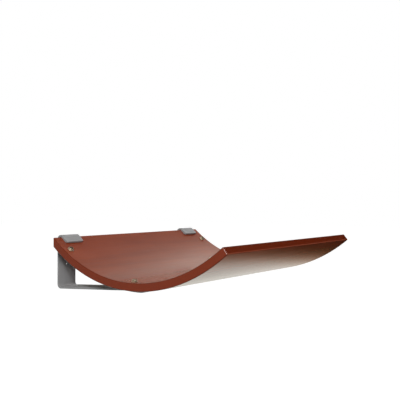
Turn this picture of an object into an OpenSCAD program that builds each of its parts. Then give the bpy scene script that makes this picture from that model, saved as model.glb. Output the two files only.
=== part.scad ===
// Curved wooden wall shelf for a cat, hung in two bent steel strip brackets.
// The wall is the plane y = 0 and the shelf stands out from it towards -Y.
// The origin is the middle of the pattern of wall screw holes, on the wall.

/* [Board] */
// Length of the board along the wall
board_l = 455; // [350:1:650]
// Depth of the board, level, from its wall edge to its front edge
board_chord = 400; // [330:1:480]
// Depth of the hollow below the two top edges
board_sag = 72.5; // [55:0.5:95]
// Thickness of the bent plywood
board_t = 14.6; // [12.5:0.1:18]
// Rounding of every edge of the board
edge_r = 1.3; // [0.6:0.1:2.5]
// Radius of the board's four corners, seen from above
board_corner_r = 2; // [1:0.5:12]

/* [Brackets] */
// Width of the steel strip
strip_w = 43.6; // [26:0.1:60]
// Thickness of the steel strip
strip_t = 4; // [2.5:0.5:6]
// Distance from the end of the board to the strip
bracket_inset = 18.7; // [10:0.1:60]
// Inside radius of the two bends at the wall
bend_r = 5; // [4.5:0.5:8]
// Reach of the hook over the board's wall edge, level
tab_reach = 16.3; // [11:0.1:24]
// Reach of the arm past the board's lowest line
seat_front = 15; // [10:0.5:40]
// Length of the curved seat on the wall side of that line
seat_back = 25; // [12:0.5:50]
// Rise of the arm from the wall to the seat, in degrees
arm_deg = 3.9; // [2:0.1:6]
// Radius of the corners at the free ends of the strip
corner_r = 4; // [1:0.5:8]

/* [Wall holes] */
// Diameter of a wall screw hole
wall_hole_d = 4.3; // [4:0.1:10]
// Distance between the upper and the lower hole of a bracket
wall_hole_gap = 30; // [15:1:35]
// Height of the board's top edges above the middle of the holes
edge_h = 40.5; // [34:0.5:50]

/* [Bracket bolts] */
// Diameter of the bolt
bolt_d = 5; // [4:0.5:6]
// Length of the bolt under its head
bolt_l = 13; // [11:0.5:14]
// Diameter of the domed bolt head
bolt_head_d = 9.5; // [8.5:0.5:14]
// Height of the domed bolt head
bolt_head_h = 2.8; // [2.4:0.1:4.5]
// Size of the hexagon socket across its flats
bolt_socket_af = 3; // [2:0.5:4]
// Depth of the hexagon socket
bolt_socket_depth = 1.6; // [1:0.1:2]

/* [Threaded inserts] */
// Outside diameter of the insert
insert_d = 8; // [7:0.1:12]
// Length of the insert
insert_l = 10; // [9:0.5:11]
// Depth of the insert's mouth below the face of the board
insert_sink = 0.5; // [0.2:0.1:1]

/* [Snap studs] */
// Distance of a stud's centre from the end of the board
stud_inset = 16; // [9:0.5:18]
// Distance of the outer studs from the long edges, along the surface
stud_edge = 40.5; // [36:0.5:70]
// Diameter of the flange
stud_flange_d = 12.5; // [11:0.5:16]
// Thickness of the flange
stud_flange_t = 1.1; // [0.6:0.1:1.6]
// Diameter of the bulb that a snap grips
stud_bulb_d = 9.6; // [9:0.1:11]
// Height of the shell above the board
stud_h = 4.2; // [4:0.1:6]
// Depth of the groove under the bulb
stud_groove = 0.7; // [0.3:0.1:0.9]
// Wall of the shell round the screw head
stud_wall = 1.1; // [0.8:0.1:1.4]

/* [Stud screws] */
// Diameter of the screw shank
screw_d = 3.6; // [3:0.1:4]
// Length of the screw under its head
screw_l = 10; // [8:0.5:11]
// Height of the screw head
screw_head_h = 2.4; // [1.8:0.1:2.8]
// Length of the tapered point
screw_tip_l = 3; // [1.5:0.5:4]
// Width of one arm of the cross recess
recess_w = 0.9; // [0.5:0.1:1.2]
// Length of the cross recess
recess_l = 3.6; // [2.5:0.1:4.4]
// Depth of the cross recess
recess_depth = 1.3; // [0.6:0.1:1.6]

/* [Clearances] */
// Space between the steel and the board, and under a stud's flange
seat_gap = 0.2; // [0.1:0.05:0.4]
// Space round an insert or a screw in the board, on the radius
press_gap = 0.03; // [0.02:0.01:0.1]
// Space round a bolt in its insert, on the radius
thread_gap = 0.05; // [0.03:0.01:0.1]
// Space round a bolt in its bracket hole, on the radius
hole_gap = 0.3; // [0.2:0.05:0.5]
// Space round a screw in its stud, on the radius
screw_gap = 0.15; // [0.1:0.05:0.25]
// Depth left free under the end of a screw, bolt or insert
end_gap = 0.6; // [0.3:0.1:1]

/* [Hidden] */

// Overrun of every cut
over = 1;
// How far an arc stands past the straight face it runs into, so that the two cross cleanly
blend = 0.02;
// Colours
wood = [0.45, 0.20, 0.12];
steel = [0.56, 0.57, 0.58];
brass = [0.66, 0.58, 0.44];
zinc = [0.70, 0.70, 0.68];

// Inner and outer radius of the bent board, and the angle of half its arc
in_r = (board_chord * board_chord / 4 + board_sag * board_sag) / (2 * board_sag);
out_r = in_r + board_t;
half_deg = asin(board_chord / 2 / in_r);
// Extra sweep at the wall end, which the upright end cut takes off
spare_deg = half_deg / 8;

// Slope of the hook's tab, which lies across the hollow face of the board
tab_drop = sqrt(in_r * in_r - pow(board_chord / 2 - tab_reach, 2)) - (in_r - board_sag);
tab_deg = atan(tab_drop / tab_reach);
// Space behind the board: its rounded edge lies in the hook's bend, half a gap clear
bend_room = bend_r - edge_r - seat_gap;
edge_run = sqrt(pow(bend_room + seat_gap / 2, 2) - pow(bend_room, 2));
hook_gap = bend_r - edge_r + bend_room * sin(tab_deg) - edge_run * cos(tab_deg);

// Plate: inner face, and the upright end of the board
plate_y = -strip_t;
edge_y = plate_y - hook_gap;
// Axis of the board's arc
arc_y = edge_y - board_chord / 2;
arc_z = edge_h - board_sag + in_r;

// Curved seat of the strip, upper face, and the kink where the straight arm joins it
seat_r = out_r + seat_gap;
kink_deg = asin(seat_back / seat_r);
seat_end_deg = -asin(seat_front / seat_r);
kink = arc_point(seat_r, kink_deg);

// Axis of the bend between the arm and the plate
low_y = plate_y - bend_r;
low_z = kink[1] - (low_y - kink[0]) * tan(arm_deg) + bend_r / cos(arm_deg);

// Free end of the tab, lower face, and the axis of the bend at its other end
tab_y = edge_y - tab_reach - seat_gap * sin(tab_deg);
tab_z = edge_h - tab_drop + seat_gap * cos(tab_deg);
top_y = plate_y - bend_r;
top_z = tab_z + (top_y - tab_y) * tan(tab_deg) - bend_r / cos(tab_deg);

// Middle of a bracket and of a stud
bracket_x = board_l / 2 - bracket_inset - strip_w / 2;
stud_x = board_l / 2 - stud_inset;
stud_deg = half_deg - stud_edge / in_r * 180 / PI;

// Lowest line of the board, where the bolts are, and of the seat under it
board_low_z = arc_z - out_r;
seat_low_z = arc_z - seat_r - strip_t;
insert_hole_h = insert_sink + insert_l + end_gap;

// Snap stud and its screw
stud_floor_z = stud_h - screw_head_h + screw_gap;
screw_head_r = stud_bulb_d / 2 - stud_wall - screw_gap;
// Part of the screw head's height that is an upright edge
head_edge_share = 0.4;
// Part of a bulb's height that is its rounding
bulb_round_share = 0.5;

// Direction from the arc's axis, and a point there, at an angle from the lowest line
function radial(deg) = [sin(deg), -cos(deg)];
function arc_point(r, deg) = [arc_y, arc_z] + r * radial(deg);

// Turns a drawing of y and z into a solid along x
module along_x(length) {
  rotate([90, 0, 90])
    translate([0, 0, -length / 2])
      linear_extrude(height = length) children();
}

// A place at a radius and an angle about the arc's axis, with +Z towards the axis
module on_arc(x, r, deg) {
  translate([x, arc_y, arc_z])
    rotate([deg, 0, 0])
      translate([0, 0, -r]) children();
}

// What a rounded corner takes off a plate that ends at y = 0 and lies towards +Y
module corner_cut(side, half_w, r, h) {
  reach = r + over;
  translate([side * (half_w - r), r, 0])
    difference() {
      translate([side > 0 ? 0 : -reach, -reach, 0])
        cube([reach, reach, h]);
      translate([0, 0, -over])
        cylinder(r = r + blend, h = h + 2 * over, $fn = 64);
    }
}

// What a rounded edge takes off: a corner outside a circle at c.
// The faces that meet there have the unit normals n and m.
module edge_cut(c, n, m) {
  reach = edge_r + over;
  far = reach / (1 + n[0] * m[0] + n[1] * m[1]);
  along_x(board_l + 2 * over)
    difference() {
      polygon([c, c + reach * n, c + far * (n + m), c + reach * m]);
      translate(c) circle(r = edge_r, $fn = 48);
    }
}

// Section of the board, with the radius as x and the length as y
module board_section() {
  translate([in_r + edge_r, -board_l / 2])
    square([board_t - 2 * edge_r, board_l]);
  translate([in_r, -board_l / 2 + edge_r])
    square([board_t, board_l - 2 * edge_r]);
  for (r = [in_r + edge_r, out_r - edge_r], x = [-1, 1])
    translate([r, x * (board_l / 2 - edge_r)])
      circle(r = edge_r, $fn = 48);
}

// Bent blank: square front end, and a spare length at the wall
module board_blank() {
  translate([0, arc_y, arc_z])
    rotate([90, 0, 90])
      rotate([0, 0, -90 - half_deg])
        rotate_extrude(angle = 2 * half_deg + spare_deg, $fn = 240)
          board_section();
}

module board() {
  wall_in = asin((board_chord / 2 - edge_r) / (in_r + edge_r));
  wall_out = asin((board_chord / 2 - edge_r) / (out_r - edge_r));
  front_in = -half_deg + asin(edge_r / (in_r + edge_r));
  front_out = -half_deg + asin(edge_r / (out_r - edge_r));
  front_normal = [-cos(half_deg), sin(half_deg)];
  color(wood)
    difference() {
      board_blank();
      // Upright end at the wall
      translate([-board_l / 2 - over, edge_y, arc_z - out_r])
        cube([board_l + 2 * over, out_r, out_r]);
      // Rounded long edges
      edge_cut(arc_point(in_r + edge_r, wall_in), -radial(wall_in), [1, 0]);
      edge_cut(arc_point(out_r - edge_r, wall_out), radial(wall_out), [1, 0]);
      edge_cut(arc_point(in_r + edge_r, front_in), -radial(front_in), front_normal);
      edge_cut(arc_point(out_r - edge_r, front_out), radial(front_out), front_normal);
      // Rounded corners
      for (side = [-1, 1]) {
        translate([0, edge_y, board_low_z - over])
          mirror([0, 1, 0])
            corner_cut(side, board_l / 2, board_corner_r, edge_h - board_low_z + 2 * over);
        on_arc(0, out_r + over, -half_deg)
          corner_cut(side, board_l / 2, board_corner_r, board_t + 2 * over);
      }
      // Blind holes for the threaded inserts
      for (side = [-1, 1])
        translate([side * bracket_x, arc_y, board_low_z - over])
          cylinder(r = insert_d / 2 + press_gap, h = insert_hole_h + over, $fn = 64);
      // Pilot holes for the stud screws
      for (side = [-1, 1], place = [-1, 0, 1])
        on_arc(side * stud_x, in_r, place * stud_deg)
          translate([0, 0, stud_floor_z - screw_l - end_gap])
            cylinder(r = screw_d / 2 + press_gap, h = screw_l + end_gap, $fn = 48);
    }
}

// Sector of a disc round the arc's axis, under the board
module seat_sector(r, from_deg, to_deg) {
  intersection() {
    translate([arc_y, arc_z]) circle(r = r, $fn = 240);
    polygon([
      arc_point(seat_r - strip_t, from_deg),
      arc_point(2 * seat_r, from_deg),
      arc_point(2 * seat_r, to_deg),
      arc_point(seat_r - strip_t, to_deg)
    ]);
  }
}

// Side view of the strip: what its outer face encloses, less the hollow inside
module strip_outline() {
  bend_outer_r = bend_r + strip_t;
  over_deg = asin(over / seat_r);
  tab_up = [-sin(tab_deg), cos(tab_deg)];
  tab_out = [-cos(tab_deg), -sin(tab_deg)];
  arm_down = [-sin(arm_deg), -cos(arm_deg)];
  arm_out = [-cos(arm_deg), sin(arm_deg)];
  low = [low_y, low_z];
  top = [top_y, top_z];
  tab = [tab_y, tab_z];
  arm_end = kink + over * arm_out;
  // Centres of the two bends, which stay true to the wall side of the plate
  low_hub = low - [blend, 0];
  top_hub = top - [blend, 0];
  difference() {
    union() {
      polygon([
        [0, low_z],
        [0, top_z],
        top,
        top + bend_outer_r * tab_up,
        tab + strip_t * tab_up,
        tab,
        [tab_y, kink[1]],
        arm_end,
        arm_end + strip_t * arm_down,
        low + bend_outer_r * arm_down,
        low
      ]);
      seat_sector(seat_r + strip_t, seat_end_deg, kink_deg + over_deg);
      translate(low_hub) circle(r = bend_outer_r + blend, $fn = 96);
      translate(top_hub) circle(r = bend_outer_r + blend, $fn = 96);
    }
    polygon([
      [plate_y, low_z],
      [plate_y, top_z],
      top,
      top + bend_r * tab_up,
      tab + over * tab_out,
      arm_end + over * arm_out,
      low + bend_r * arm_down,
      low
    ]);
    seat_sector(seat_r, seat_end_deg - over_deg, kink_deg + 2 * over_deg);
    translate(low_hub) circle(r = bend_r + blend, $fn = 96);
    translate(top_hub) circle(r = bend_r + blend, $fn = 96);
  }
}

module bracket(x) {
  color(steel)
    translate([x, 0, 0])
      difference() {
        along_x(strip_w) strip_outline();
        for (side = [-1, 1]) {
          on_arc(0, seat_r + strip_t + over, seat_end_deg)
            corner_cut(side, strip_w / 2, corner_r, strip_t + 2 * over);
          translate([0, tab_y, tab_z])
            rotate([tab_deg, 0, 0])
              translate([0, 0, -over])
                corner_cut(side, strip_w / 2, corner_r, strip_t + 2 * over);
          // Wall screw holes
          translate([0, over, side * wall_hole_gap / 2])
            rotate([90, 0, 0])
              cylinder(r = wall_hole_d / 2, h = strip_t + 2 * over, $fn = 64);
        }
        // Bolt hole in the seat
        translate([0, arc_y, seat_low_z - over])
          cylinder(r = bolt_d / 2 + hole_gap, h = strip_t + 2 * over, $fn = 64);
      }
}

// Domed head bolt, put in from below
module bracket_bolt(x) {
  head_r = bolt_head_d / 2;
  dome_r = (head_r * head_r + bolt_head_h * bolt_head_h) / (2 * bolt_head_h);
  color(zinc)
    translate([x, arc_y, seat_low_z]) {
      cylinder(r = bolt_d / 2, h = bolt_l, $fn = 64);
      difference() {
        intersection() {
          translate([0, 0, dome_r - bolt_head_h])
            sphere(r = dome_r, $fn = 96);
          translate([0, 0, -bolt_head_h])
            cylinder(r = head_r, h = bolt_head_h, $fn = 96);
        }
        translate([0, 0, -bolt_head_h - over])
          cylinder(d = bolt_socket_af / cos(30), h = bolt_socket_depth + over, $fn = 6);
      }
    }
}

module threaded_insert(x) {
  color(brass)
    translate([x, arc_y, board_low_z + insert_sink])
      difference() {
        cylinder(r = insert_d / 2, h = insert_l, $fn = 64);
        translate([0, 0, -over])
          cylinder(r = bolt_d / 2 + thread_gap, h = insert_l + 2 * over, $fn = 64);
      }
}

// Formed shell of a snap stud: flange, groove, bulb, and a well for the screw head
module stud_shell() {
  bulb_r = stud_bulb_d / 2;
  groove_r = bulb_r - stud_groove;
  bulb_z = stud_flange_t + stud_groove;
  round_r = (stud_h - bulb_z) * bulb_round_share;
  rotate_extrude($fn = 96)
    difference() {
      union() {
        square([stud_flange_d / 2 - stud_flange_t / 2, stud_flange_t]);
        translate([stud_flange_d / 2 - stud_flange_t / 2, stud_flange_t / 2])
          circle(d = stud_flange_t, $fn = 48);
        square([groove_r, stud_h]);
        translate([0, bulb_z])
          square([bulb_r - round_r, stud_h - bulb_z]);
        translate([bulb_r - round_r, stud_h - round_r])
          circle(r = round_r, $fn = 48);
      }
      translate([-stud_flange_d, -over])
        square([stud_flange_d + screw_d / 2 + screw_gap, stud_h + 2 * over]);
      translate([-stud_flange_d, stud_floor_z])
        square([stud_flange_d + screw_head_r + screw_gap, stud_h]);
    }
}

// Cross recessed screw, its head in the well of the shell
module stud_screw() {
  edge_h_screw = screw_head_h * head_edge_share;
  dome_h = screw_head_h - edge_h_screw;
  dome_r = (screw_head_r * screw_head_r + dome_h * dome_h) / (2 * dome_h);
  shank_l = screw_l - screw_tip_l;
  difference() {
    union() {
      cylinder(r = screw_head_r, h = edge_h_screw, $fn = 64);
      intersection() {
        translate([0, 0, screw_head_h - dome_r])
          sphere(r = dome_r, $fn = 96);
        translate([0, 0, edge_h_screw])
          cylinder(r = screw_head_r, h = dome_h, $fn = 64);
      }
      translate([0, 0, -shank_l])
        cylinder(r = screw_d / 2, h = shank_l, $fn = 48);
      translate([0, 0, -screw_l])
        cylinder(r1 = 0, r2 = screw_d / 2, h = screw_tip_l, $fn = 48);
    }
    for (turn = [0, 90])
      rotate([0, 0, turn])
        translate([-recess_l / 2, -recess_w / 2, screw_head_h - recess_depth])
          cube([recess_l, recess_w, recess_depth + over]);
  }
}

// A stud or its screw, at an end of the board and at a place across it
module stud(side, place) {
  color(brass)
    on_arc(side * stud_x, in_r, place * stud_deg)
      translate([0, 0, seat_gap]) stud_shell();
}

module screw(side, place) {
  color(zinc)
    on_arc(side * stud_x, in_r, place * stud_deg)
      translate([0, 0, seat_gap + stud_floor_z]) stud_screw();
}

module left_bracket() { bracket(-bracket_x); }
module right_bracket() { bracket(bracket_x); }
module left_bracket_bolt() { bracket_bolt(-bracket_x); }
module right_bracket_bolt() { bracket_bolt(bracket_x); }
module left_threaded_insert() { threaded_insert(-bracket_x); }
module right_threaded_insert() { threaded_insert(bracket_x); }
module left_wall_stud() { stud(-1, 1); }
module left_centre_stud() { stud(-1, 0); }
module left_front_stud() { stud(-1, -1); }
module right_wall_stud() { stud(1, 1); }
module right_centre_stud() { stud(1, 0); }
module right_front_stud() { stud(1, -1); }
module left_wall_stud_screw() { screw(-1, 1); }
module left_centre_stud_screw() { screw(-1, 0); }
module left_front_stud_screw() { screw(-1, -1); }
module right_wall_stud_screw() { screw(1, 1); }
module right_centre_stud_screw() { screw(1, 0); }
module right_front_stud_screw() { screw(1, -1); }

board();
left_bracket();
right_bracket();
left_bracket_bolt();
right_bracket_bolt();
left_threaded_insert();
right_threaded_insert();
left_wall_stud();
left_centre_stud();
left_front_stud();
right_wall_stud();
right_centre_stud();
right_front_stud();
left_wall_stud_screw();
left_centre_stud_screw();
left_front_stud_screw();
right_wall_stud_screw();
right_centre_stud_screw();
right_front_stud_screw();
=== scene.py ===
"""Cat wall hammock shelf: a bent plywood trough in two bent steel strip brackets.

Sizes are in millimetres. The camera's place is too, and lamps, cards and the floor are in metres.
The wall is the plane y = 0 and the shelf stands out towards -Y. The axis of the bent board's
arc runs along X.
"""
import math
from collections import namedtuple

import bmesh
import bpy
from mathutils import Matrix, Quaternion, Vector


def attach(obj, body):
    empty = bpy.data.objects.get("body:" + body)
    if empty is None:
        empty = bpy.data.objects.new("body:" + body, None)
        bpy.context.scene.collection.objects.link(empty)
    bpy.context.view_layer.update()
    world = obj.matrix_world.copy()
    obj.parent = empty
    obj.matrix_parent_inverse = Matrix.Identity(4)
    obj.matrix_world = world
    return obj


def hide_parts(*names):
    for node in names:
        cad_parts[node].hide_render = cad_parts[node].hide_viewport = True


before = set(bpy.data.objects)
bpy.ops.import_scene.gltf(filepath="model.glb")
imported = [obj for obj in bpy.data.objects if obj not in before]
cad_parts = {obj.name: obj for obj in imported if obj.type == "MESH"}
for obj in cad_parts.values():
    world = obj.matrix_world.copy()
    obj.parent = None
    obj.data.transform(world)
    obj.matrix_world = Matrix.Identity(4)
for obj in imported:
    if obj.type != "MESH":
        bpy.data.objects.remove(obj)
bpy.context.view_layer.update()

MM = 0.001

# Sizes, as in the CAD model

BOARD_L = 455.0
BOARD_CHORD = 400.0
BOARD_SAG = 72.5
BOARD_T = 14.6
EDGE_R = 1.3
BOARD_CORNER_R = 2.0

STRIP_W = 43.6
STRIP_T = 4.0
BRACKET_INSET = 18.7
BEND_R = 5.0
TAB_REACH = 16.3
SEAT_FRONT = 15.0
SEAT_BACK = 25.0
ARM_SLOPE = math.radians(3.9)
STRIP_CORNER_R = 4.0

WALL_HOLE_D = 4.3
WALL_HOLE_GAP = 30.0
EDGE_H = 40.5

BOLT_D = 5.0
BOLT_L = 13.0
BOLT_HEAD_D = 9.5
BOLT_HEAD_H = 2.8
SOCKET_AF = 3.0
SOCKET_DEPTH = 1.6
BOLT_HOLE_GAP = 0.3

STUD_INSET = 16.0
STUD_EDGE = 40.5
FLANGE_D = 12.5
FLANGE_T = 1.1
BULB_D = 9.6
STUD_H = 4.2
STUD_GROOVE = 0.7
STUD_WALL = 1.1
BULB_ROUND_SHARE = 0.5

SCREW_D = 3.6
SCREW_L = 10.0
SCREW_HEAD_H = 2.4
HEAD_EDGE_SHARE = 0.4
SCREW_TIP_L = 3.0
RECESS_W = 0.9
RECESS_L = 3.6
RECESS_DEPTH = 1.3

SEAT_GAP = 0.2
SCREW_GAP = 0.15

# Details that only the dressed pieces have

STRIP_EDGE_R = 0.45
HOLE_RIM_R = 0.15
KINK_BEND_R = 12.0

# Bolt: the drill point in its socket, the socket's lip, the neck under the head, and the thread
DRILL_R = 0.9
DRILL_RIM_DEPTH = 0.1
DRILL_DEPTH = 0.4
SOCKET_CHAMFER = 0.25
SOCKET_LIP = 0.08
SOCKET_LIP_SHARE = 1.08
BOLT_DOME_SHARES = (0.46, 0.93)
BOLT_RIM_R = 0.35
BOLT_NECK_W = 0.1
BOLT_NECK_H = 0.2
BOLT_THREAD_START = 0.6
BOLT_THREAD_STOP = 0.8
BOLT_THREAD_DEPTH = 0.35
BOLT_THREAD_PITCH = 0.8
BOLT_END_CHAMFER = 0.7

# Stud: the foot of its groove at the flange, the neck under its bulb, and the lip of its well
FOOT_W = 0.3
FOOT_H = 0.25
FOOT_RISE = 0.02
NECK_W = 0.05
NECK_H = 0.2
BULB_CHAMFER = 0.2
BULB_RISE = 0.05
BULB_SWELL = 0.35
LIP_W = 0.06
LIP_H = 0.03
LIP_DEPTH = 0.3
WELL_FILLET = 0.2

# Stud screw: the cross recess, which narrows downwards, the head's edge, the neck and the thread
RECESS_POINT = 0.15
RECESS_FLOOR_SHARE = 0.82
RECESS_WALL_H = 0.3
RECESS_WALL_SHARE = 0.92
RECESS_LIP = 0.06
HEAD_RIM_DROP = 0.05
HEAD_CHAMFER = 0.15
SCREW_DOME_SHARES = (0.55, 0.97)
SCREW_NECK = 0.2
SCREW_THREAD_START = 1.0
SCREW_THREAD_DEPTH = 0.4
SCREW_THREAD_PITCH = 1.2
SCREW_TIP_SHOULDER = 0.2

# Where a thread's crest and its root start and end, as shares of the pitch
THREAD_CREST = (0.1, 0.3)
THREAD_ROOT = (0.6, 0.8)

# First and last angle, in degrees, of a rounded rim and of the bulb's rounding
RIM_ARC = (-60, 90)
BULB_ARC = (12, 90)

# Steps round corners, rims and turned pieces, and other settings of the meshes

CORNER_STEPS = 8
BOARD_STEPS = (110, 44)
BOARD_RIM_STEPS = 5
STRIP_RIM_STEPS = 3
HOLE_CELL = 7.0
HOLE_CELLS = 8
BOLT_STEPS = 60
BOLT_DOME_STEPS = 9
BOLT_RIM_STEPS = 6
STUD_STEPS = 64
STUD_ARC_STEPS = 8
SCREW_DOME_STEPS = 6
MERGE_DISTANCE = 0.001
NORMAL_WEIGHT = 80

# Worked out from the sizes in the same way as in the CAD model

IN_R = (BOARD_CHORD ** 2 / 4 + BOARD_SAG ** 2) / (2 * BOARD_SAG)
OUT_R = IN_R + BOARD_T
HALF = math.asin(BOARD_CHORD / 2 / IN_R)
BOARD_U = 2 * HALF * IN_R

TAB_DROP = math.sqrt(IN_R ** 2 - (BOARD_CHORD / 2 - TAB_REACH) ** 2) - (IN_R - BOARD_SAG)
TAB_SLOPE = math.atan(TAB_DROP / TAB_REACH)
BEND_ROOM = BEND_R - EDGE_R - SEAT_GAP
EDGE_RUN = math.sqrt((BEND_ROOM + SEAT_GAP / 2) ** 2 - BEND_ROOM ** 2)
HOOK_GAP = (BEND_R - EDGE_R + BEND_ROOM * math.sin(TAB_SLOPE)
            - EDGE_RUN * math.cos(TAB_SLOPE))
EDGE_Y = -STRIP_T - HOOK_GAP
ARC_Y = EDGE_Y - BOARD_CHORD / 2
ARC_Z = EDGE_H - BOARD_SAG + IN_R
AXIS = Vector((0.0, ARC_Y, ARC_Z))

SEAT_R = OUT_R + SEAT_GAP
KINK = math.asin(SEAT_BACK / SEAT_R)
SEAT_END = -math.asin(SEAT_FRONT / SEAT_R)

BRACKET_X = BOARD_L / 2 - BRACKET_INSET - STRIP_W / 2
STUD_X = BOARD_L / 2 - STUD_INSET
STUD_ANGLE = HALF - STUD_EDGE / IN_R
STUD_FLOOR = STUD_H - SCREW_HEAD_H + SCREW_GAP
SCREW_HEAD_R = BULB_D / 2 - STUD_WALL - SCREW_GAP

SIDES = {"left": -1, "right": 1}
PLACES = {"wall": 1, "centre": 0, "front": -1}

ALONG_X = Vector((1.0, 0.0, 0.0))
TOWARDS_WALL = Vector((0.0, 1.0, 0.0))


def radial(angle):
    """Direction down and at an angle towards the wall, which is away from the arc's axis."""
    return Vector((0.0, math.sin(angle), -math.cos(angle)))


def tangent(angle):
    """Direction square to radial(angle), towards the wall."""
    return Vector((0.0, math.cos(angle), math.sin(angle)))


# Shader tools

def rgb(red, green, blue):
    return (red, green, blue, 1.0)


def grey(level):
    return rgb(level, level, level)


WHITE = grey(1.0)
BLACK = grey(0.0)


class Nodes:
    """Short calls for building the node tree of a new material or world."""

    def __init__(self, owner, output="ShaderNodeOutputMaterial"):
        owner.use_nodes = True
        self.owner = owner
        self.tree = owner.node_tree
        self.tree.nodes.clear()
        self.output = self.tree.nodes.new(output)

    def link(self, source, target):
        """Links an output to an input, or sets the input to a plain value."""
        if isinstance(source, bpy.types.NodeSocket):
            self.tree.links.new(source, target)
        else:
            target.default_value = source

    def node(self, kind, inputs, **settings):
        """New node, with its inputs given by name or number. Returns its outputs."""
        node = self.tree.nodes.new(kind)
        for name, value in settings.items():
            setattr(node, name, value)
        for key, value in inputs.items():
            self.link(value, node.inputs[key])
        return node.outputs

    def finish(self, shader):
        """Makes a shader the surface, and returns the material or world."""
        self.link(shader, self.output.inputs["Surface"])
        return self.owner

    def math(self, operation, a, b=0.0, clamp=False):
        return self.node("ShaderNodeMath", {0: a, 1: b}, operation=operation, use_clamp=clamp)[0]

    def product(self, first, *others):
        for other in others:
            first = self.math("MULTIPLY", first, other)
        return first

    def length(self, a, b):
        """Length of the vector with parts a and b."""
        squares = self.math("ADD", self.product(a, a), self.product(b, b))
        return self.math("SQRT", squares)

    def position(self):
        return self.node("ShaderNodeTexCoord", {})["Object"]

    def split(self, vector):
        return self.node("ShaderNodeSeparateXYZ", {0: vector})

    def join(self, x, y, z):
        return self.node("ShaderNodeCombineXYZ", {0: x, 1: y, 2: z})[0]

    def noise(self, vector, scale, detail=4.0, roughness=0.5, distortion=0.0):
        inputs = {"Vector": vector, "Scale": scale, "Detail": detail,
                  "Roughness": roughness, "Distortion": distortion}
        return self.node("ShaderNodeTexNoise", inputs)["Fac"]

    def ease(self, value, low, high, to_low=0.0, to_high=1.0):
        """Smooth step from to_low, where value is low, to to_high, where it is high."""
        inputs = {"Value": value, "From Min": low, "From Max": high,
                  "To Min": to_low, "To Max": to_high}
        return self.node("ShaderNodeMapRange", inputs, interpolation_type="SMOOTHSTEP")["Result"]

    def mix(self, share, a, b, blend="MIX"):
        """Mix of colours a and b. share 0 gives a."""
        inputs = {0: share, 6: a, 7: b}
        return self.node("ShaderNodeMix", inputs, data_type="RGBA", blend_type=blend)[2]

    def ramp(self, value, stops):
        """Colours between stops given as (value, colour)."""
        low, high = stops[0][0], stops[-1][0]
        share = self.math("DIVIDE", self.math("SUBTRACT", value, low), high - low)
        node = self.tree.nodes.new("ShaderNodeValToRGB")
        self.link(share, node.inputs["Fac"])
        elements = node.color_ramp.elements
        elements[0].color = stops[0][1]
        elements[-1].color = stops[-1][1]
        for at, colour in stops[1:-1]:
            elements.new((at - low) / (high - low)).color = colour
        return node.outputs["Color"]

    def attribute(self, name):
        return self.node("ShaderNodeAttribute", {}, attribute_name=name)["Fac"]

    def bump(self, height, strength, distance):
        inputs = {"Height": height, "Strength": strength, "Distance": distance}
        return self.node("ShaderNodeBump", inputs)["Normal"]

    def rays(self):
        return self.node("ShaderNodeLightPath", {})

    def principled(self, **inputs):
        """Principled shader. An input's name has _ in place of a space."""
        inputs = {name.replace("_", " "): value for name, value in inputs.items()}
        return self.node("ShaderNodeBsdfPrincipled", inputs)["BSDF"]

    def glow(self, colour, strength=1.0):
        return self.node("ShaderNodeEmission", {"Color": colour, "Strength": strength})[0]

    def background(self, colour, strength=1.0):
        return self.node("ShaderNodeBackground", {"Color": colour, "Strength": strength})[0]

    def mix_shaders(self, share, a, b):
        return self.node("ShaderNodeMixShader", {0: share, 1: a, 2: b})[0]

    def add_shaders(self, a, b):
        return self.node("ShaderNodeAddShader", {0: a, 1: b})[0]


# Materials

WOOD_DEEP = rgb(0.175, 0.026, 0.0075)
WOOD_DARK = rgb(0.225, 0.036, 0.0105)
WOOD_MID = rgb(0.275, 0.046, 0.0140)
WOOD_LIGHT = rgb(0.330, 0.066, 0.0210)
WOOD_PORE = rgb(0.100, 0.015, 0.0055)
WOOD_END = rgb(0.235, 0.030, 0.0070)
# Painted shade for the long edge towards the room
PAINTED_SHADE_LONG_EDGE = rgb(0.128, 0.0160, 0.0037)
# Painted highlight for the lower arris of the long edge towards the room
WOOD_PAINTED_HIGHLIGHT = rgb(0.290, 0.070, 0.036)

PLIES = 5.0
FRONT_BAND = 1.5

# How the noises of the grain and of the pores run along X and through the board. A small share
# draws them out, and the minus mirrors the grain
GRAIN_ALONG = -0.12
GRAIN_THROUGH = 0.3
PORES_ALONG = 0.05
PORES_THROUGH = 0.6

# Bands over which the plies and the arrises fade. The glue's is off a ply's middle, as a share of
# the ply. The others are shares of the board's thickness: the lower arris's is down from the
# upper face, and the rest are off the board's middle
GLUE_BAND = (0.42, 0.5)
LOWER_ARRIS_BAND = (0.86, 0.92)
INNER_PLIES_BAND = (0.40, 0.46)
MIDDLE_PLY_BAND = (0.08, 0.12)
EDGE_BAND = (0.44, 0.50)
ARRIS_BAND = (0.38, 0.47)

# How much each of these shows in the colour
STREAK_SHARE = 0.35
CLOUD_SHARE = 0.25
PORE_SHARE = 0.30
GLUE_SHARE = 0.45
MIDDLE_SHARE = 0.55
END_SHARE = 0.80
# Share of the painted shade on the long edge towards the room
LONG_EDGE_SHADE_SHARE = 0.9
# Share of the arrises' darkening, in part stain and in part painted shade
ARRIS_STAIN_AND_SHADE_SHARE = 0.6
# Share of the painted highlight on that edge's lower arris
LOWER_ARRIS_HIGHLIGHT_SHARE = 0.9

STREAK_RELIEF = 0.35
PORE_RELIEF = 0.6

STEEL_DARK = rgb(0.268, 0.268, 0.270)
STEEL_MID = rgb(0.305, 0.305, 0.307)
STEEL_LIGHT = rgb(0.360, 0.360, 0.362)

GRIT_SHARE = 0.25
SCUFF_SHARE = 0.12
# Share of the rims' lightening, in part wear and in part painted highlight
RIM_WEAR_AND_HIGHLIGHT_SHARE = 0.6
GRIT_RELIEF = 0.4
PEEL_RELIEF = 0.6
TURNED_SHARE = 0.2

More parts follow.
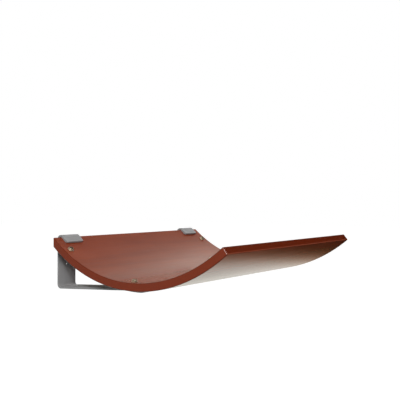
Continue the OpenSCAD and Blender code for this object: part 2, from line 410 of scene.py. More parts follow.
ZINC = (grey(0.30), rgb(0.55, 0.55, 0.54))
BRASS = (rgb(0.40, 0.28, 0.10), rgb(0.62, 0.46, 0.20))
STUD_PLATING = (rgb(0.12, 0.08, 0.045), rgb(0.72, 0.60, 0.43))
SCREW_PLATING = (rgb(0.04, 0.025, 0.015), rgb(0.22, 0.16, 0.11))


def wood_material():
    """Stained and lacquered plywood. Its grain runs along X, and its plies follow the arc."""
    m = Nodes(bpy.data.materials.new("stained_plywood"))
    x, y, z = m.split(m.position())
    out_y = m.math("SUBTRACT", y, ARC_Y * MM)
    out_z = m.math("SUBTRACT", ARC_Z * MM, z)
    radius = m.length(out_y, out_z)
    along = m.product(m.math("ARCTAN2", out_y, out_z), IN_R * MM)
    depth = m.math("DIVIDE", m.math("SUBTRACT", radius, IN_R * MM), BOARD_T * MM)
    off_middle = m.math("ABSOLUTE", m.math("SUBTRACT", depth, 0.5))
    rim = m.attribute("rim")

    # Grain of the face veneers, drawn out along X
    flat = m.join(m.product(x, GRAIN_ALONG), along, m.product(radius, GRAIN_THROUGH))
    broad = m.noise(flat, scale=26.0, detail=3.0, distortion=0.6)
    streak = m.noise(flat, scale=190.0, detail=5.0, roughness=0.6, distortion=0.3)
    fine = m.join(m.product(x, PORES_ALONG), along, m.product(radius, PORES_THROUGH))
    pores = m.ease(m.noise(fine, scale=1500.0, detail=2.0), 0.60, 0.78)
    cloud = m.noise(m.join(m.product(x, -1.0), y, z), scale=9.0, detail=2.0)

    # Plies on the edges, the middle one darker, with thin dark glue lines
    in_ply = m.math("FRACT", m.product(depth, PLIES))
    glue = m.ease(m.math("ABSOLUTE", m.math("SUBTRACT", in_ply, 0.5)), *GLUE_BAND)
    inside = m.ease(off_middle, *INNER_PLIES_BAND, 1.0, 0.0)
    middle = m.ease(off_middle, *MIDDLE_PLY_BAND, 1.0, 0.0)
    end_grain = m.noise(m.position(), scale=420.0, detail=3.0)
    glue_line = m.product(glue, inside, GLUE_SHARE)

    # 1 on the edges, and 1 on the long edge towards the room
    on_edge = m.ease(off_middle, *EDGE_BAND, 1.0, 0.0)
    front = m.ease(along, -BOARD_U / 2 * MM, (FRONT_BAND - BOARD_U / 2) * MM, 1.0, 0.0)

    base = m.mix(m.ease(broad, 0.30, 0.70), WOOD_DARK, WOOD_MID)
    base = m.mix(m.product(m.ease(streak, 0.35, 0.75), STREAK_SHARE), base, WOOD_LIGHT)
    base = m.mix(m.product(m.ease(cloud, 0.35, 0.7), CLOUD_SHARE), base, WOOD_DEEP)
    base = m.mix(m.product(pores, PORE_SHARE), base, WOOD_PORE)
    base = m.mix(glue_line, base, WOOD_PORE)
    base = m.mix(m.product(middle, end_grain, MIDDLE_SHARE), base, WOOD_DEEP)
    base = m.mix(m.product(on_edge, END_SHARE), base, WOOD_END)
    # Painted shade: the long edge towards the room is darkened beyond the plies' colour
    base = m.mix(m.product(on_edge, front, LONG_EDGE_SHADE_SHARE), base, PAINTED_SHADE_LONG_EDGE)
    # The rounded arrises are darker: in part stain, in part painted shade
    arris = m.ease(off_middle, *ARRIS_BAND)
    base = m.mix(m.product(arris, rim, ARRIS_STAIN_AND_SHADE_SHARE), base, WOOD_PORE)
    # Painted highlight: the lower arris of the long edge towards the room is made lighter
    lower_arris = m.ease(depth, *LOWER_ARRIS_BAND)
    base = m.mix(m.product(lower_arris, front, LOWER_ARRIS_HIGHLIGHT_SHARE, rim), base, WOOD_PAINTED_HIGHLIGHT)

    relief = m.product(streak, STREAK_RELIEF)
    height = m.math("SUBTRACT", relief, m.product(pores, PORE_RELIEF))
    height = m.math("SUBTRACT", height, glue_line)
    return m.finish(m.principled(
        Base_Color=base,
        Roughness=m.ease(streak, 0.2, 0.8, 0.46, 0.60),
        Normal=m.bump(height, strength=0.05, distance=0.0002),
        Specular_IOR_Level=0.1,
        Coat_Weight=1.0,
        Coat_Roughness=0.20,
        Coat_IOR=1.5,
    ))


def steel_material():
    """Grey satin powder coat, with a fine texture, and rims lighter: in part wear, in part painted
    highlight.
    """
    m = Nodes(bpy.data.materials.new("grey_steel"))
    place = m.position()
    x, y, z = m.split(place)
    grit = m.noise(place, scale=2600.0, detail=2.0)
    peel = m.noise(place, scale=700.0, detail=2.0)
    # The cloud's x is mirrored so that it falls darker on the left tab and lighter on the right
    # tab: random tone, placed as painted shade and light
    cloud = m.noise(m.join(m.product(x, -1.0), y, z), scale=30.0, detail=3.0)
    scuff = m.ease(m.noise(place, scale=160.0, detail=6.0, roughness=0.7), 0.56, 0.72)
    # Rims lighter: in part wear of the coat, in part painted highlight
    worn_and_highlit = m.product(m.attribute("rim"), m.ease(cloud, 0.25, 0.75, 0.25, 0.8))
    base = m.mix(m.ease(cloud, 0.3, 0.7), STEEL_DARK, STEEL_MID)
    base = m.mix(m.product(m.ease(grit, 0.45, 0.75), GRIT_SHARE), base, STEEL_LIGHT)
    base = m.mix(m.product(scuff, SCUFF_SHARE), base, STEEL_LIGHT)
    base = m.mix(m.product(worn_and_highlit, RIM_WEAR_AND_HIGHLIGHT_SHARE), base, STEEL_LIGHT)
    height = m.math("ADD", m.product(grit, GRIT_RELIEF), m.product(peel, PEEL_RELIEF))
    return m.finish(m.principled(
        Base_Color=base,
        Roughness=m.ease(cloud, 0.25, 0.75, 0.42, 0.54),
        Normal=m.bump(height, strength=0.25, distance=0.0001),
        IOR=1.5,
    ))


def metal_material(name, colours, rough, dulling, metallic=1.0):
    """Plated or turned metal, duller and darker in patches. Less metallic where it has a patina."""
    dark, light = colours
    m = Nodes(bpy.data.materials.new(name))
    place = m.position()
    patch = m.noise(place, scale=420.0, detail=5.0, roughness=0.65)
    turned = m.noise(place, scale=1800.0, detail=2.0)
    base = m.mix(m.ease(patch, 0.38, 0.55), dark, light)
    base = m.mix(m.product(m.ease(turned, 0.5, 0.8), TURNED_SHARE), base, dark)
    return m.finish(m.principled(
        Base_Color=base,
        Metallic=metallic,
        Roughness=m.ease(patch, 0.3, 0.7, rough + dulling, rough),
        Normal=m.bump(turned, strength=0.15, distance=0.00008),
    ))


# Each material has the name of its slot
MATERIALS = {
    "stained_plywood": wood_material(),
    "grey_steel": steel_material(),
    "bolt_steel": metal_material("bolt_steel", ZINC, rough=0.30, dulling=0.15),
    "insert_brass": metal_material("insert_brass", BRASS, rough=0.30, dulling=0.15),
    "stud_brass": metal_material(
        "stud_brass", STUD_PLATING, rough=0.30, dulling=0.20, metallic=0.5),
    "screw_steel": metal_material("screw_steel", SCREW_PLATING, rough=0.35, dulling=0.20),
}


# Mesh tools

def slerp(a, b, share):
    """Unit vector part of the way from a to b."""
    whole = a.angle(b)
    if whole < 1e-6:
        return a.copy()
    return (a * math.sin((1 - share) * whole) + b * math.sin(share * whole)) / math.sin(whole)


def spread(start, end, count):
    """count + 1 numbers from start to end."""
    return [start + (end - start) * i / count for i in range(count + 1)]


def lines(*stops):
    """Grid lines through stops given as (value, steps to the next one)."""
    out = []
    for (value, steps), (following, _) in zip(stops, stops[1:]):
        out += spread(value, following, steps)[:-1]
    return out + [stops[-1][0]]


def add_piece(name, mesh_builder, slot, node):
    """Makes a piece of a bmesh in millimetres, with its slot's material, in place of a CAD node.

    The weighted normals let large faces keep their own beside small fillets.
    """
    bmesh.ops.recalc_face_normals(mesh_builder, faces=mesh_builder.faces)
    bmesh.ops.scale(mesh_builder, vec=(MM, MM, MM), verts=mesh_builder.verts)
    mesh = bpy.data.meshes.new(name)
    mesh_builder.to_mesh(mesh)
    mesh_builder.free()
    for polygon in mesh.polygons:
        polygon.use_smooth = True
    piece = bpy.data.objects.new(name, mesh)
    bpy.context.scene.collection.objects.link(piece)
    weighted = piece.modifiers.new("weighted_normals", "WEIGHTED_NORMAL")
    weighted.mode = "FACE_AREA"
    weighted.weight = NORMAL_WEIGHT
    weighted.keep_sharp = True
    mesh.materials.append(MATERIALS[slot])
    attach(piece, "root")
    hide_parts(node)


class Shell:
    """A closed plate with an upper and a lower face over one plan, and rounded rims."""

    def __init__(self, rim_steps):
        self.mesh = bmesh.new()
        self.rim_layer = self.mesh.verts.layers.float.new("rim")
        self.steps = rim_steps
        self.upper = {}
        self.lower = {}

    def point(self, key, upper, lower):
        self.upper[key] = self.mesh.verts.new(upper)
        self.lower[key] = self.mesh.verts.new(lower)

    def face(self, *keys):
        self.mesh.faces.new([self.upper[k] for k in keys])
        self.mesh.faces.new([self.lower[k] for k in reversed(keys)])

    def rim(self, keys, stations, radius):
        """Rounds the plate off along a closed loop of plan keys, one station for each.

        A station is the centre of the upper and the lower fillet, and the directions from
        them up, sideways and down.
        """
        rings = []
        for key, (high, low, n_high, n_side, n_low) in zip(keys, stations):
            self.point(key, high + radius * n_high, low + radius * n_low)
            ring = [self.upper[key]]
            for i in range(1, self.steps + 1):
                turned = slerp(n_high, n_side, i / self.steps)
                ring.append(self.mesh.verts.new(high + radius * turned))
            for i in range(self.steps):
                turned = slerp(n_side, n_low, i / self.steps)
                ring.append(self.mesh.verts.new(low + radius * turned))
            for vertex in ring[1:]:
                vertex[self.rim_layer] = 1.0
            ring.append(self.lower[key])
            rings.append(ring)
        for ring, following in zip(rings, rings[1:] + rings[:1]):
            for a, b, c, d in zip(ring, ring[1:], following[1:], following):
                self.mesh.faces.new((a, b, c, d))


# Hole at (u, v), in a square of grid cells from a row and a column
Hole = namedtuple("Hole", "row column cells u v radius rim_r")


def fill_grid(shell, us, vs, surface, holes):
    """Points and faces of the grid, apart from the cells that holes take."""
    taken, inside = set(), set()
    for hole in holes:
        cells = range(hole.cells)
        taken |= {(hole.row + i, hole.column + j) for i in cells for j in cells}
        inside |= {(hole.row + i, hole.column + j) for i in cells[1:] for j in cells[1:]}
    for i, u in enumerate(us):
        for j, v in enumerate(vs):
            if (i, j) not in inside:
                shell.point((i, j), *surface(u, v))
    for i in range(len(us) - 1):
        for j in range(len(vs) - 1):
            if (i, j) not in taken:
                shell.face((i, j), (i + 1, j), (i + 1, j + 1), (i, j + 1))


def round_outside(shell, us, vs, corner_r, rim_r, station):
    """Rim round the grid: one point beside each of its edge nodes, and a fan at each corner."""
    last_u, last_v = len(us) - 1, len(vs) - 1
    edges = [
        ([(0, j) for j in range(last_v + 1)], -90),
        ([(i, last_v) for i in range(last_u + 1)], 0),
        ([(last_u, j) for j in range(last_v, -1, -1)], 90),
        ([(i, 0) for i in range(last_u, -1, -1)], 180),
    ]
    keys, stations, inner = [], [], []
    reach = corner_r - rim_r
    for nodes, outward in edges:
        for node in nodes:
            turns = [outward]
            if node == nodes[-1]:
                turns = spread(outward, outward + 90, CORNER_STEPS)[:-1]
            for turn in turns:
                nu, nv = math.sin(math.radians(turn)), math.cos(math.radians(turn))
                keys.append(("rim", len(keys)))
                inner.append(node)
                stations.append(station(us[node[0]] + reach * nu, vs[node[1]] + reach * nv, nu, nv))
    shell.rim(keys, stations, rim_r)
    for a, b, key, following in zip(inner, inner[1:] + inner[:1], keys, keys[1:] + keys[:1]):
        if a == b:
            shell.face(a, following, key)
        else:
            shell.face(a, b, following, key)


def round_hole(shell, hole, station):
    """Ring of quads from a square of grid nodes to a round hole's own rim."""
    row, column, cells = hole.row, hole.column, hole.cells
    square = [(row, column + k) for k in range(cells)]
    square += [(row + k, column + cells) for k in range(cells)]
    square += [(row + cells, column + cells - k) for k in range(cells)]
    square += [(row + cells - k, column) for k in range(cells)]
    first_corner = 225
    keys, stations = [], []
    far = hole.radius + hole.rim_r
    for k in range(len(square)):
        turn = math.radians(first_corner - 360 * k / len(square))
        nu, nv = math.cos(turn), math.sin(turn)
        keys.append(("hole", row, k))
        stations.append(station(hole.u + far * nu, hole.v + far * nv, -nu, -nv))
    shell.rim(keys, stations, hole.rim_r)
    corners = zip(square, keys, keys[1:] + keys[:1], square[1:] + square[:1])
    for node, key, following_key, following_node in corners:
        shell.face(node, key, following_key, following_node)


def lathe(profile, count, shape=None):
    """Solid of revolution about Z from (radius, height) points, closed on the axis at radius 0.

    shape(index of the profile point, angle) may give another radius for an angle.
    """
    mesh = bmesh.new()
    rings = []
    for index, (r, z) in enumerate(profile):
        if r == 0:
            rings.append([mesh.verts.new((0.0, 0.0, z))])
            continue
        ring = []
        for k in range(count):
            angle = 2 * math.pi * k / count
            here = shape(index, angle) if shape else None
            reach = r if here is None else here
            ring.append(mesh.verts.new((reach * math.cos(angle), reach * math.sin(angle), z)))
        rings.append(ring)
    for ring, following in zip(rings, rings[1:]):
        for k in range(count):
            a, b = ring[k % len(ring)], ring[(k + 1) % len(ring)]
            c, d = following[(k + 1) % len(following)], following[k % len(following)]
            corners = [a, b, c, d]
            if len(ring) == 1:
                corners = [a, c, d]
            elif len(following) == 1:
                corners = [a, b, c]
            mesh.faces.new(corners)
    return mesh


def arc_profile(centre, radius, start, end, steps):
    """(radius, height) points on an arc, with the angles in degrees."""
    turns = [math.radians(turn) for turn in spread(start, end, steps)]
    return [(centre[0] + radius * math.cos(t), centre[1] + radius * math.sin(t)) for t in turns]


def thread_profile(radius, depth, start, end, pitch):
    """A shank with thread ridges, from one height to another."""
    count = max(1, round(abs(end - start) / pitch))
    step = (end - start) / count
    out = []
    for k in range(count):
        out += [(radius, start + step * (k + share)) for share in THREAD_CREST]
        out += [(radius - depth, start + step * (k + share)) for share in THREAD_ROOT]
    return out


def dome_radius(reach, height):
    """Radius of the sphere that a low dome is part of."""
    return (reach ** 2 + height ** 2) / (2 * height)


# Board

def board_angles(share):
    """Angle on the upper and on the lower face, for a share of the way from front to wall."""
    front = [math.asin(BOARD_CORNER_R / radius) - HALF for radius in (IN_R, OUT_R)]
    wall = [math.asin((BOARD_CHORD / 2 - BOARD_CORNER_R) / radius) for radius in (IN_R, OUT_R)]
    return [a + (b - a) * share for a, b in zip(front, wall)]


def board_point(u, x, radius, layer):
    """Point of the board at a radius from the arc's axis. layer is 0 on the upper face, 1 below.

    The long edges are cut square to the arc at the front, and upright at the wall.
    """
    if u < BOARD_CORNER_R:
        place = AXIS + math.sqrt(radius ** 2 - u ** 2) * radial(-HALF) + u * tangent(-HALF)
    elif u > BOARD_U - BOARD_CORNER_R:
        y = EDGE_Y - (BOARD_U - u)
        place = Vector((0.0, y, ARC_Z - math.sqrt(radius ** 2 - (y - ARC_Y) ** 2)))
    else:
        share = (u - BOARD_CORNER_R) / (BOARD_U - 2 * BOARD_CORNER_R)
        place = AXIS + radius * radial(board_angles(share)[layer])
    place.x = x
    return place


def board_surface(u, x):
    return board_point(u, x, IN_R, 0), board_point(u, x, OUT_R, 1)


def board_station(u, x, nu, nx):
    high = board_point(u, x, IN_R + EDGE_R, 0)
    low = board_point(u, x, OUT_R - EDGE_R, 1)
    axis = Vector((x, ARC_Y, ARC_Z))
    across = TOWARDS_WALL if u > BOARD_U / 2 else tangent(-HALF)
    side = (nu * across + nx * ALONG_X).normalized()
    return high, low, (axis - high).normalized(), side, (low - axis).normalized()


def make_board():
    shell = Shell(BOARD_RIM_STEPS)
    us = spread(BOARD_CORNER_R, BOARD_U - BOARD_CORNER_R, BOARD_STEPS[0])
    vs = spread(-BOARD_L / 2 + BOARD_CORNER_R, BOARD_L / 2 - BOARD_CORNER_R, BOARD_STEPS[1])
    fill_grid(shell, us, vs, board_surface, holes=[])
    round_outside(shell, us, vs, BOARD_CORNER_R, EDGE_R, board_station)
    add_piece("bent_board", shell.mesh, "stained_plywood", "board")


# Brackets

def strip_runs():
    """Where the strip's inner face starts at the tab's free end, and its runs: (length, turn).

    Also gives the height at which the plate's straight run starts.
    """
    low_y = -STRIP_T - BEND_R
    kink = AXIS + SEAT_R * radial(KINK)
    low_z = kink.z - (low_y - kink.y) * math.tan(ARM_SLOPE) + BEND_R / math.cos(ARM_SLOPE)
    tab_y = EDGE_Y - TAB_REACH - SEAT_GAP * math.sin(TAB_SLOPE)
    tab_z = EDGE_H - TAB_DROP + SEAT_GAP * math.cos(TAB_SLOPE)
    top_z = tab_z + (low_y - tab_y) * math.tan(TAB_SLOPE) - BEND_R / math.cos(TAB_SLOPE)
    hook_turn = math.pi / 2 + TAB_SLOPE
    low_turn = math.pi / 2 + ARM_SLOPE
    kink_turn = ARM_SLOPE + KINK
    kink_trim = KINK_BEND_R * math.tan(kink_turn / 2)
    tab_l = (low_y - tab_y - BEND_R * math.sin(TAB_SLOPE)) / math.cos(TAB_SLOPE)
    arm_l = (low_y - BEND_R * math.sin(ARM_SLOPE) - kink.y) / math.cos(ARM_SLOPE)
    seat_turn = KINK - SEAT_END
    return (tab_y, tab_z), [
        (tab_l, 0.0),
        (BEND_R * hook_turn, -hook_turn),
        (top_z - low_z, 0.0),
        (BEND_R * low_turn, -low_turn),
        (arm_l - kink_trim, 0.0),
        (KINK_BEND_R * kink_turn, kink_turn),
        (SEAT_R * seat_turn - kink_trim, -seat_turn + kink_trim / SEAT_R),
    ], top_z


STRIP_START, STRIP_RUNS, STRIP_TOP_Z = strip_runs()
STRIP_STOPS = [sum(run[0] for run in STRIP_RUNS[:k]) for k in range(len(STRIP_RUNS) + 1)]


def strip_at(u):
    """Point of the strip's inner face, and the heading there, at a length from the tab's end."""
    y, z = STRIP_START
    heading = TAB_SLOPE
    left = u
    for number, (length, turn) in enumerate(STRIP_RUNS):
        last = number == len(STRIP_RUNS) - 1
        step = left if last else min(left, length)
        turned = turn * step / length
        if turn:
            bend = length / turn
            y += bend * (math.sin(heading + turned) - math.sin(heading))
            z -= bend * (math.cos(heading + turned) - math.cos(heading))
        else:
            y += step * math.cos(heading)
            z += step * math.sin(heading)
        heading += turned
        left -= step
        if left <= 0:
            break
    return y, z, heading


def strip_point(u, x, depth):
    """Point of the strip at a depth below its inner face, x from the strip's middle."""
    y, z, heading = strip_at(u)
    return Vector((x, y - depth * math.sin(heading), z + depth * math.cos(heading)))


def strip_surface(u, x):
    return strip_point(u, x, 0.0), strip_point(u, x, STRIP_T)


def strip_station(rim_r):
    """Stations of the strip's rims, for a fillet radius."""
    def station(u, x, nu, nx):
        heading = strip_at(u)[2]
        inward = radial(heading)
        side = (nu * tangent(heading) + nx * ALONG_X).normalized()
        high = strip_point(u, x, rim_r)
        low = strip_point(u, x, STRIP_T - rim_r)
        return high, low, inward, side, -inward
    return station


def make_bracket(side_name, side):
    tab_end, hook_end, plate_end, low_end, arm_end, kink_end, strip_end = STRIP_STOPS[1:]
    wall_hole_us = [hook_end + STRIP_TOP_Z - up * WALL_HOLE_GAP / 2 for up in (1, -1)]
    bolt_hole_u = strip_end - SEAT_FRONT
    us = lines(
        (STRIP_CORNER_R, 3), (tab_end, 20), (hook_end, 3),
        (wall_hole_us[0] - HOLE_CELL, HOLE_CELLS), (wall_hole_us[0] + HOLE_CELL, 3),
        (wall_hole_us[1] - HOLE_CELL, HOLE_CELLS), (wall_hole_us[1] + HOLE_CELL, 4),
        (plate_end, 16), (low_end, 24), (arm_end, 4), (kink_end, 6),
        (bolt_hole_u - HOLE_CELL, HOLE_CELLS), (bolt_hole_u + HOLE_CELL, 2),
        (strip_end - STRIP_CORNER_R, 0),
    )
    half = STRIP_W / 2 - STRIP_CORNER_R
    side_steps = 2
    vs = lines((-half, side_steps), (-HOLE_CELL, HOLE_CELLS), (HOLE_CELL, side_steps), (half, 0))

    def hole_at(u, radius):
        row = min(range(len(us)), key=lambda i: abs(us[i] - (u - HOLE_CELL)))
        return Hole(row, side_steps, HOLE_CELLS, u, 0.0, radius, HOLE_RIM_R)

    holes = [hole_at(u, WALL_HOLE_D / 2) for u in wall_hole_us]
    holes.append(hole_at(bolt_hole_u, BOLT_D / 2 + BOLT_HOLE_GAP))

    shell = Shell(STRIP_RIM_STEPS)
    fill_grid(shell, us, vs, strip_surface, holes)
    round_outside(shell, us, vs, STRIP_CORNER_R, STRIP_EDGE_R, strip_station(STRIP_EDGE_R))
    for hole in holes:
        round_hole(shell, hole, strip_station(HOLE_RIM_R))
    bmesh.ops.translate(shell.mesh, vec=(side * BRACKET_X, 0.0, 0.0), verts=shell.mesh.verts)
    add_piece(side_name + "_strip", shell.mesh, "grey_steel", side_name + "_bracket")


# Small hardware

def socket_radius(angle):
    """Distance from the middle to the side of the hexagon socket."""
    sixth = math.pi / 3
    return SOCKET_AF / 2 / math.cos((angle % sixth) - sixth / 2)


def make_bolt(side_name, side):
    """Button bolt about Z, with its shank upwards and the underside of its head at 0."""
    head_r = BOLT_HEAD_D / 2
    dome_r = dome_radius(head_r, BOLT_HEAD_H)
    crown = -BOLT_HEAD_H
    socket_floor = crown + SOCKET_DEPTH
    # Rows of the hexagon, as (height, size), the last one chamfered wider
    socket = [
        (socket_floor, 1.0),
        (crown + SOCKET_CHAMFER, 1.0),
        (crown + SOCKET_LIP, SOCKET_LIP_SHARE),
    ]
    drill_point = [(0, socket_floor + DRILL_DEPTH), (DRILL_R, socket_floor + DRILL_RIM_DEPTH)]
    profile = drill_point + [(SOCKET_AF / 2, z) for z, _ in socket]
    # Dome from the socket to the rim
    for share in spread(*BOLT_DOME_SHARES, BOLT_DOME_STEPS):
        r = head_r * share
        profile.append((r, crown + dome_r - math.sqrt(dome_r ** 2 - r ** 2)))
    rim_centre = (head_r - BOLT_RIM_R, -BOLT_RIM_R)
    profile += arc_profile(rim_centre, BOLT_RIM_R, *RIM_ARC, BOLT_RIM_STEPS)
    # Shank, with its thread and a chamfered end
    shank_r = BOLT_D / 2
    thread_end = BOLT_L - BOLT_THREAD_STOP
    profile += [(shank_r + BOLT_NECK_W, 0.0), (shank_r, BOLT_NECK_H)]
    profile += thread_profile(
        shank_r, BOLT_THREAD_DEPTH, BOLT_THREAD_START, thread_end, BOLT_THREAD_PITCH)
    profile += [(shank_r - BOLT_END_CHAMFER, BOLT_L), (0, BOLT_L)]

    def shape(index, angle):
        row = index - len(drill_point)
        if 0 <= row < len(socket):
            return socket_radius(angle) * socket[row][1]
        return None

    mesh = lathe(profile, BOLT_STEPS, shape)
    seat_z = ARC_Z - SEAT_R - STRIP_T
    bmesh.ops.translate(mesh, vec=(side * BRACKET_X, ARC_Y, seat_z), verts=mesh.verts)
    add_piece(side_name + "_button_bolt", mesh, "bolt_steel", side_name + "_bracket_bolt")


def set_on_board(mesh, side, place, height):
    """Moves a piece made about Z onto the hollow face, at an end and a place across it."""
    angle = place * STUD_ANGLE
    bmesh.ops.translate(mesh, vec=(0.0, 0.0, height - IN_R), verts=mesh.verts)
    for vertex in mesh.verts:
        x, y, z = vertex.co
        middle = Vector((x + side * STUD_X, 0.0, 0.0)) + AXIS
        vertex.co = middle + tangent(angle) * y - radial(angle) * z


def make_stud(node, side, place):
    """Snap stud: a flange, a groove and a bulb, round a well for the screw's head."""
    bulb_r = BULB_D / 2
    bulb_z = FLANGE_T + STUD_GROOVE
    round_r = (STUD_H - bulb_z) * BULB_ROUND_SHARE
    waist_r = bulb_r - STUD_GROOVE
    well_r = SCREW_HEAD_R + SCREW_GAP
    hole_r = SCREW_D / 2 + SCREW_GAP
    flange_c = FLANGE_D / 2 - FLANGE_T / 2
    # Flange with a round rim
    profile = [(hole_r, 0.0), (flange_c, 0.0)]
    profile += arc_profile((flange_c, FLANGE_T / 2), FLANGE_T / 2, *RIM_ARC, STUD_ARC_STEPS)
    # Groove, softened where it meets the flange and the bulb
    profile += [(waist_r + FOOT_W, FLANGE_T + FOOT_RISE), (waist_r, FLANGE_T + FOOT_H)]
    profile += [(waist_r + NECK_W, bulb_z - NECK_H), (bulb_r - BULB_CHAMFER, bulb_z + BULB_RISE)]
    # Bulb
    round_centre = (bulb_r - round_r, STUD_H - round_r)
    profile += [(bulb_r, bulb_z + BULB_SWELL), (bulb_r, STUD_H - round_r)]
    profile += arc_profile(round_centre, round_r, *BULB_ARC, STUD_ARC_STEPS)
    # Well and screw hole
    profile += [(well_r + LIP_W, STUD_H - LIP_H), (well_r, STUD_H - LIP_DEPTH)]
    profile += [(well_r, STUD_FLOOR + WELL_FILLET), (well_r - WELL_FILLET, STUD_FLOOR)]
    profile += [(hole_r, STUD_FLOOR), (hole_r, 0.0)]
    mesh = lathe(profile, STUD_STEPS)
    # The profile ends where it starts, so its first and last rings become one
    bmesh.ops.remove_doubles(mesh, verts=mesh.verts, dist=MERGE_DISTANCE)
    set_on_board(mesh, side, place, SEAT_GAP)
    add_piece(node + "_shell", mesh, "stud_brass", node)


def cross_radius(angle):
    """Distance from the middle to the outline of the cross recess."""
    quarter = math.pi / 2
    off = abs((angle + quarter / 2) % quarter - quarter / 2)
    if math.tan(off) * RECESS_L < RECESS_W:
        return RECESS_L / 2 / math.cos(off)
    return RECESS_W / 2 / math.sin(off)


def make_stud_screw(node, side, place):
    """Cross recessed screw about Z, with the underside of its domed head at 0."""
    edge_h = SCREW_HEAD_H * HEAD_EDGE_SHARE
    dome_r = dome_radius(SCREW_HEAD_R, SCREW_HEAD_H - edge_h)

    def dome_z(r):
        return SCREW_HEAD_H - dome_r + math.sqrt(dome_r ** 2 - r ** 2)

    floor_z = SCREW_HEAD_H - RECESS_DEPTH
    # Rows of the cross, as (height, size), narrower downwards
    recess = [
        (floor_z, RECESS_FLOOR_SHARE),
        (floor_z + RECESS_WALL_H, RECESS_WALL_SHARE),
        (dome_z(RECESS_L / 2) - RECESS_LIP, 1.0),
    ]
    profile = [(0, floor_z - RECESS_POINT)] + [(RECESS_L / 2, z) for z, _ in recess]
    # Dome from the recess to the rim, and the head's edge
    for share in spread(*SCREW_DOME_SHARES, SCREW_DOME_STEPS):
        r = SCREW_HEAD_R * share
        profile.append((r, dome_z(r)))
    profile.append((SCREW_HEAD_R, edge_h - HEAD_RIM_DROP))
    profile += [(SCREW_HEAD_R, HEAD_CHAMFER), (SCREW_HEAD_R - HEAD_CHAMFER, 0.0)]
    # Shank, with its thread and a point
    shank_r = SCREW_D / 2
    tip_z = -SCREW_L + SCREW_TIP_L
    profile += [(shank_r + SCREW_NECK, 0.0), (shank_r, -SCREW_NECK)]
    profile += thread_profile(
        shank_r, SCREW_THREAD_DEPTH, -SCREW_THREAD_START, tip_z, SCREW_THREAD_PITCH)
    profile += [(shank_r - SCREW_TIP_SHOULDER, tip_z), (0, -SCREW_L)]

    def shape(index, angle):
        if 1 <= index <= len(recess):
            return cross_radius(angle) * recess[index - 1][1]
        return None

    mesh = lathe(profile, STUD_STEPS, shape)
    set_on_board(mesh, side, place, SEAT_GAP + STUD_FLOOR)
    add_piece(node + "_cross_screw", mesh, "screw_steel", node + "_screw")


# The shelf. The inserts are hidden, and keep their CAD mesh

make_board()
for side_name, side in SIDES.items():
    make_bracket(side_name, side)
    make_bolt(side_name, side)
    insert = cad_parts[side_name + "_threaded_insert"]
    insert.data.materials.clear()
    insert.data.materials.append(MATERIALS["insert_brass"])
    for place_name, place in PLACES.items():
        stud_node = side_name + "_" + place_name + "_stud"
        make_stud(stud_node, side, place)
        make_stud_screw(stud_node, side, place)

# Camera, as solved from the board's edges in the photograph

CAMERA_PLACE = (-1018.4, -957.4, 113.9)
CAMERA_LOOK = (0.8004, 0.5995, -0.0008)
CAMERA_ROLL = 0.0025
SENSOR = 36.0
FOCAL_SHARE = 619.5 / 400

camera_data = bpy.data.cameras.new("camera")
camera_data.sensor_width = SENSOR
camera_data.lens = SENSOR * FOCAL_SHARE
camera_data.clip_start = 0.01
camera = bpy.data.objects.new("camera", camera_data)
camera.location = Vector(CAMERA_PLACE) * MM
upright = Vector(CAMERA_LOOK).to_track_quat("-Z", "Y")
camera_turn = upright @ Quaternion((0.0, 0.0, 1.0), CAMERA_ROLL)
camera.rotation_euler = camera_turn.to_euler()
bpy.context.scene.collection.objects.link(camera)
bpy.context.scene.camera = camera

# Floor

FLOOR_Z = -0.62
FLOOR_SIZE = 30.0
FLOOR_CELLS = 12
FLOOR_GLOW = 0.98


def floor_material():
    """Pale floor. To the camera it is lit up to white, and the shelf's shadow stays on it."""
    m = Nodes(bpy.data.materials.new("pale_floor"))
    texture = m.noise(m.position(), scale=6.0, detail=3.0)
    surface = m.principled(Base_Color=m.mix(texture, grey(0.23), grey(0.25)), Roughness=0.9)
    rays = m.rays()
    seen = m.math("ADD", rays["Is Camera Ray"], rays["Is Glossy Ray"])
    seen = m.math("ADD", seen, rays["Is Transmission Ray"], clamp=True)
    return m.finish(m.add_shaders(surface, m.glow(WHITE, m.product(seen, FLOOR_GLOW))))


floor_mesh = bmesh.new()
bmesh.ops.create_grid(
    floor_mesh, x_segments=FLOOR_CELLS, y_segments=FLOOR_CELLS, size=FLOOR_SIZE / 2)
floor_data = bpy.data.meshes.new("floor")
floor_mesh.to_mesh(floor_data)
floor_mesh.free()
floor = bpy.data.objects.new("floor", floor_data)
floor.location = (0.0, 0.0, FLOOR_Z)
floor_data.materials.append(floor_material())
bpy.context.scene.collection.objects.link(floor)
floor.visible_glossy = False

# World and reflections

AMBIENT = 0.05
# How bright reflections see the world, by the z of a ray's direction
SKY = [(-1.0, 0.05), (-0.85, 0.15), (-0.50, 0.85), (0.0, 0.95),
       (0.44, 0.76), (0.56, 0.42), (0.72, 0.22), (1.0, 0.15)]
# By its x and by its y: from a share at the first value, given last, to all at the second
SIDE_SHADE = (-0.4, 0.3, 0.30)
ROOM_SHADE = (-0.20, 0.40, 0.0)
MIRROR_TINT = rgb(1.0, 0.97, 0.87)

CARD_X = 0.9
CARD_Y = (-2.5, 2.4)
LOW_CARD_Z = (-1.6, -0.06)
HIGH_CARD_Z = (-0.06, 2.6)

# Colours of the low card by y
LOW_CARD = [
    (-0.25, rgb(0.010, 0.008, 0.005)),
    (-0.18, rgb(0.08, 0.055, 0.02)),
    (-0.12, rgb(0.32, 0.18, 0.11)),
    (-0.06, rgb(0.60, 0.45, 0.34)),
    (0.0, rgb(0.85, 0.75, 0.63)),
    (0.08, rgb(1.02, 0.96, 0.87)),
    (0.22, rgb(1.04, 1.03, 0.94)),
]

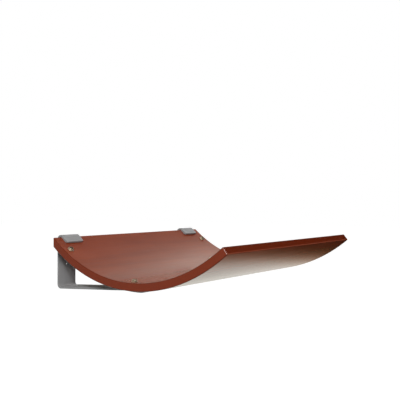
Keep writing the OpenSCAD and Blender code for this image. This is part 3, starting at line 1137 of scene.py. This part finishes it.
# The high card's glow: its middle and radii by y and z, its levels by distance in radii, and
# the stretch of y over which it fades in from the room
GLOW_Y, GLOW_Z = 0.20, 0.40
GLOW_RY, GLOW_RZ = 0.55, 0.25
GLOW_FADE = [(0.0, 1.2), (0.3, 0.95), (0.65, 0.59), (1.1, 0.44), (2.0, 0.26), (3.0, 0.10)]
GLOW_ROOM = (-0.15, 0.45)


def studio_world():
    """White to the camera. Reflections see it white near the horizon and darker above and below."""
    m = Nodes(bpy.data.worlds.new("studio"), "ShaderNodeOutputWorld")
    x, y, z = m.split(m.node("ShaderNodeTexCoord", {})["Generated"])
    sky = m.ramp(z, [(height, grey(level)) for height, level in SKY])
    # Darker towards -X, and darker still towards the room at -Y
    shade = m.product(m.ease(x, *SIDE_SHADE), m.ease(y, *ROOM_SHADE))
    mirrored = m.background(m.mix(1.0, sky, MIRROR_TINT, "MULTIPLY"), shade)
    rays = m.rays()
    by_mirror = m.math("ADD", rays["Is Glossy Ray"], rays["Is Transmission Ray"], clamp=True)
    lit = m.mix_shaders(by_mirror, m.background(WHITE, AMBIENT), mirrored)
    return m.finish(m.mix_shaders(rays["Is Camera Ray"], lit, m.background(WHITE)))


def low_card_colour(m, place):
    """Dark towards the room, through a warm dusk to white by the wall."""
    return m.ramp(place["Y"], LOW_CARD)


def high_card_colour(m, place):
    """A round glow that fades outwards, and fades out towards the room."""
    far_y = m.math("DIVIDE", m.math("SUBTRACT", place["Y"], GLOW_Y), GLOW_RY)
    far_z = m.math("DIVIDE", m.math("SUBTRACT", place["Z"], GLOW_Z), GLOW_RZ)
    fade = m.ramp(m.length(far_y, far_z), [(far, grey(level)) for far, level in GLOW_FADE])
    room = m.mix(m.ease(place["Y"], *GLOW_ROOM), BLACK, MIRROR_TINT)
    return m.mix(1.0, fade, room, "MULTIPLY")


def reflection_card(name, z_span, colour):
    """Upright card at the far right, seen by reflections alone, painted by colour(m, place)."""
    mesh = bmesh.new()
    (near, far), (low, high) = CARD_Y, z_span
    corners = [(near, low), (far, low), (far, high), (near, high)]
    mesh.faces.new([mesh.verts.new((CARD_X, y, z)) for y, z in corners])
    data = bpy.data.meshes.new(name)
    mesh.to_mesh(data)
    mesh.free()
    card = bpy.data.objects.new(name, data)
    bpy.context.scene.collection.objects.link(card)
    m = Nodes(bpy.data.materials.new(name))
    data.materials.append(m.finish(m.glow(colour(m, m.split(m.position())))))
    card.visible_camera = False
    card.visible_diffuse = False
    card.visible_shadow = False
    card.visible_transmission = False


bpy.context.scene.world = studio_world()
reflection_card("low_reflection_card", LOW_CARD_Z, low_card_colour)
reflection_card("high_reflection_card", HIGH_CARD_Z, high_card_colour)

# Lamps

TARGET = (0.0, -0.2, 0.0)


def softbox(name, place, size, power, mirrored):
    """Square lamp that faces the shelf, and that reflections may show."""
    data = bpy.data.lights.new(name, "AREA")
    data.shape = "SQUARE"
    data.size = size
    data.energy = power
    lamp = bpy.data.objects.new(name, data)
    lamp.location = place
    lamp.rotation_euler = (Vector(TARGET) - Vector(place)).to_track_quat("-Z", "Y").to_euler()
    lamp.visible_glossy = mirrored
    bpy.context.scene.collection.objects.link(lamp)


softbox("key", (-4.14, -2.50, 3.68), size=1.6, power=242.0, mirrored=True)
softbox("fill", (-1.35, -2.87, 0.0), size=1.0, power=28.0, mirrored=False)
softbox("top", (1.1, 0.3, 1.1), size=1.4, power=25.0, mirrored=False)

bpy.context.scene.view_settings.view_transform = "Standard"
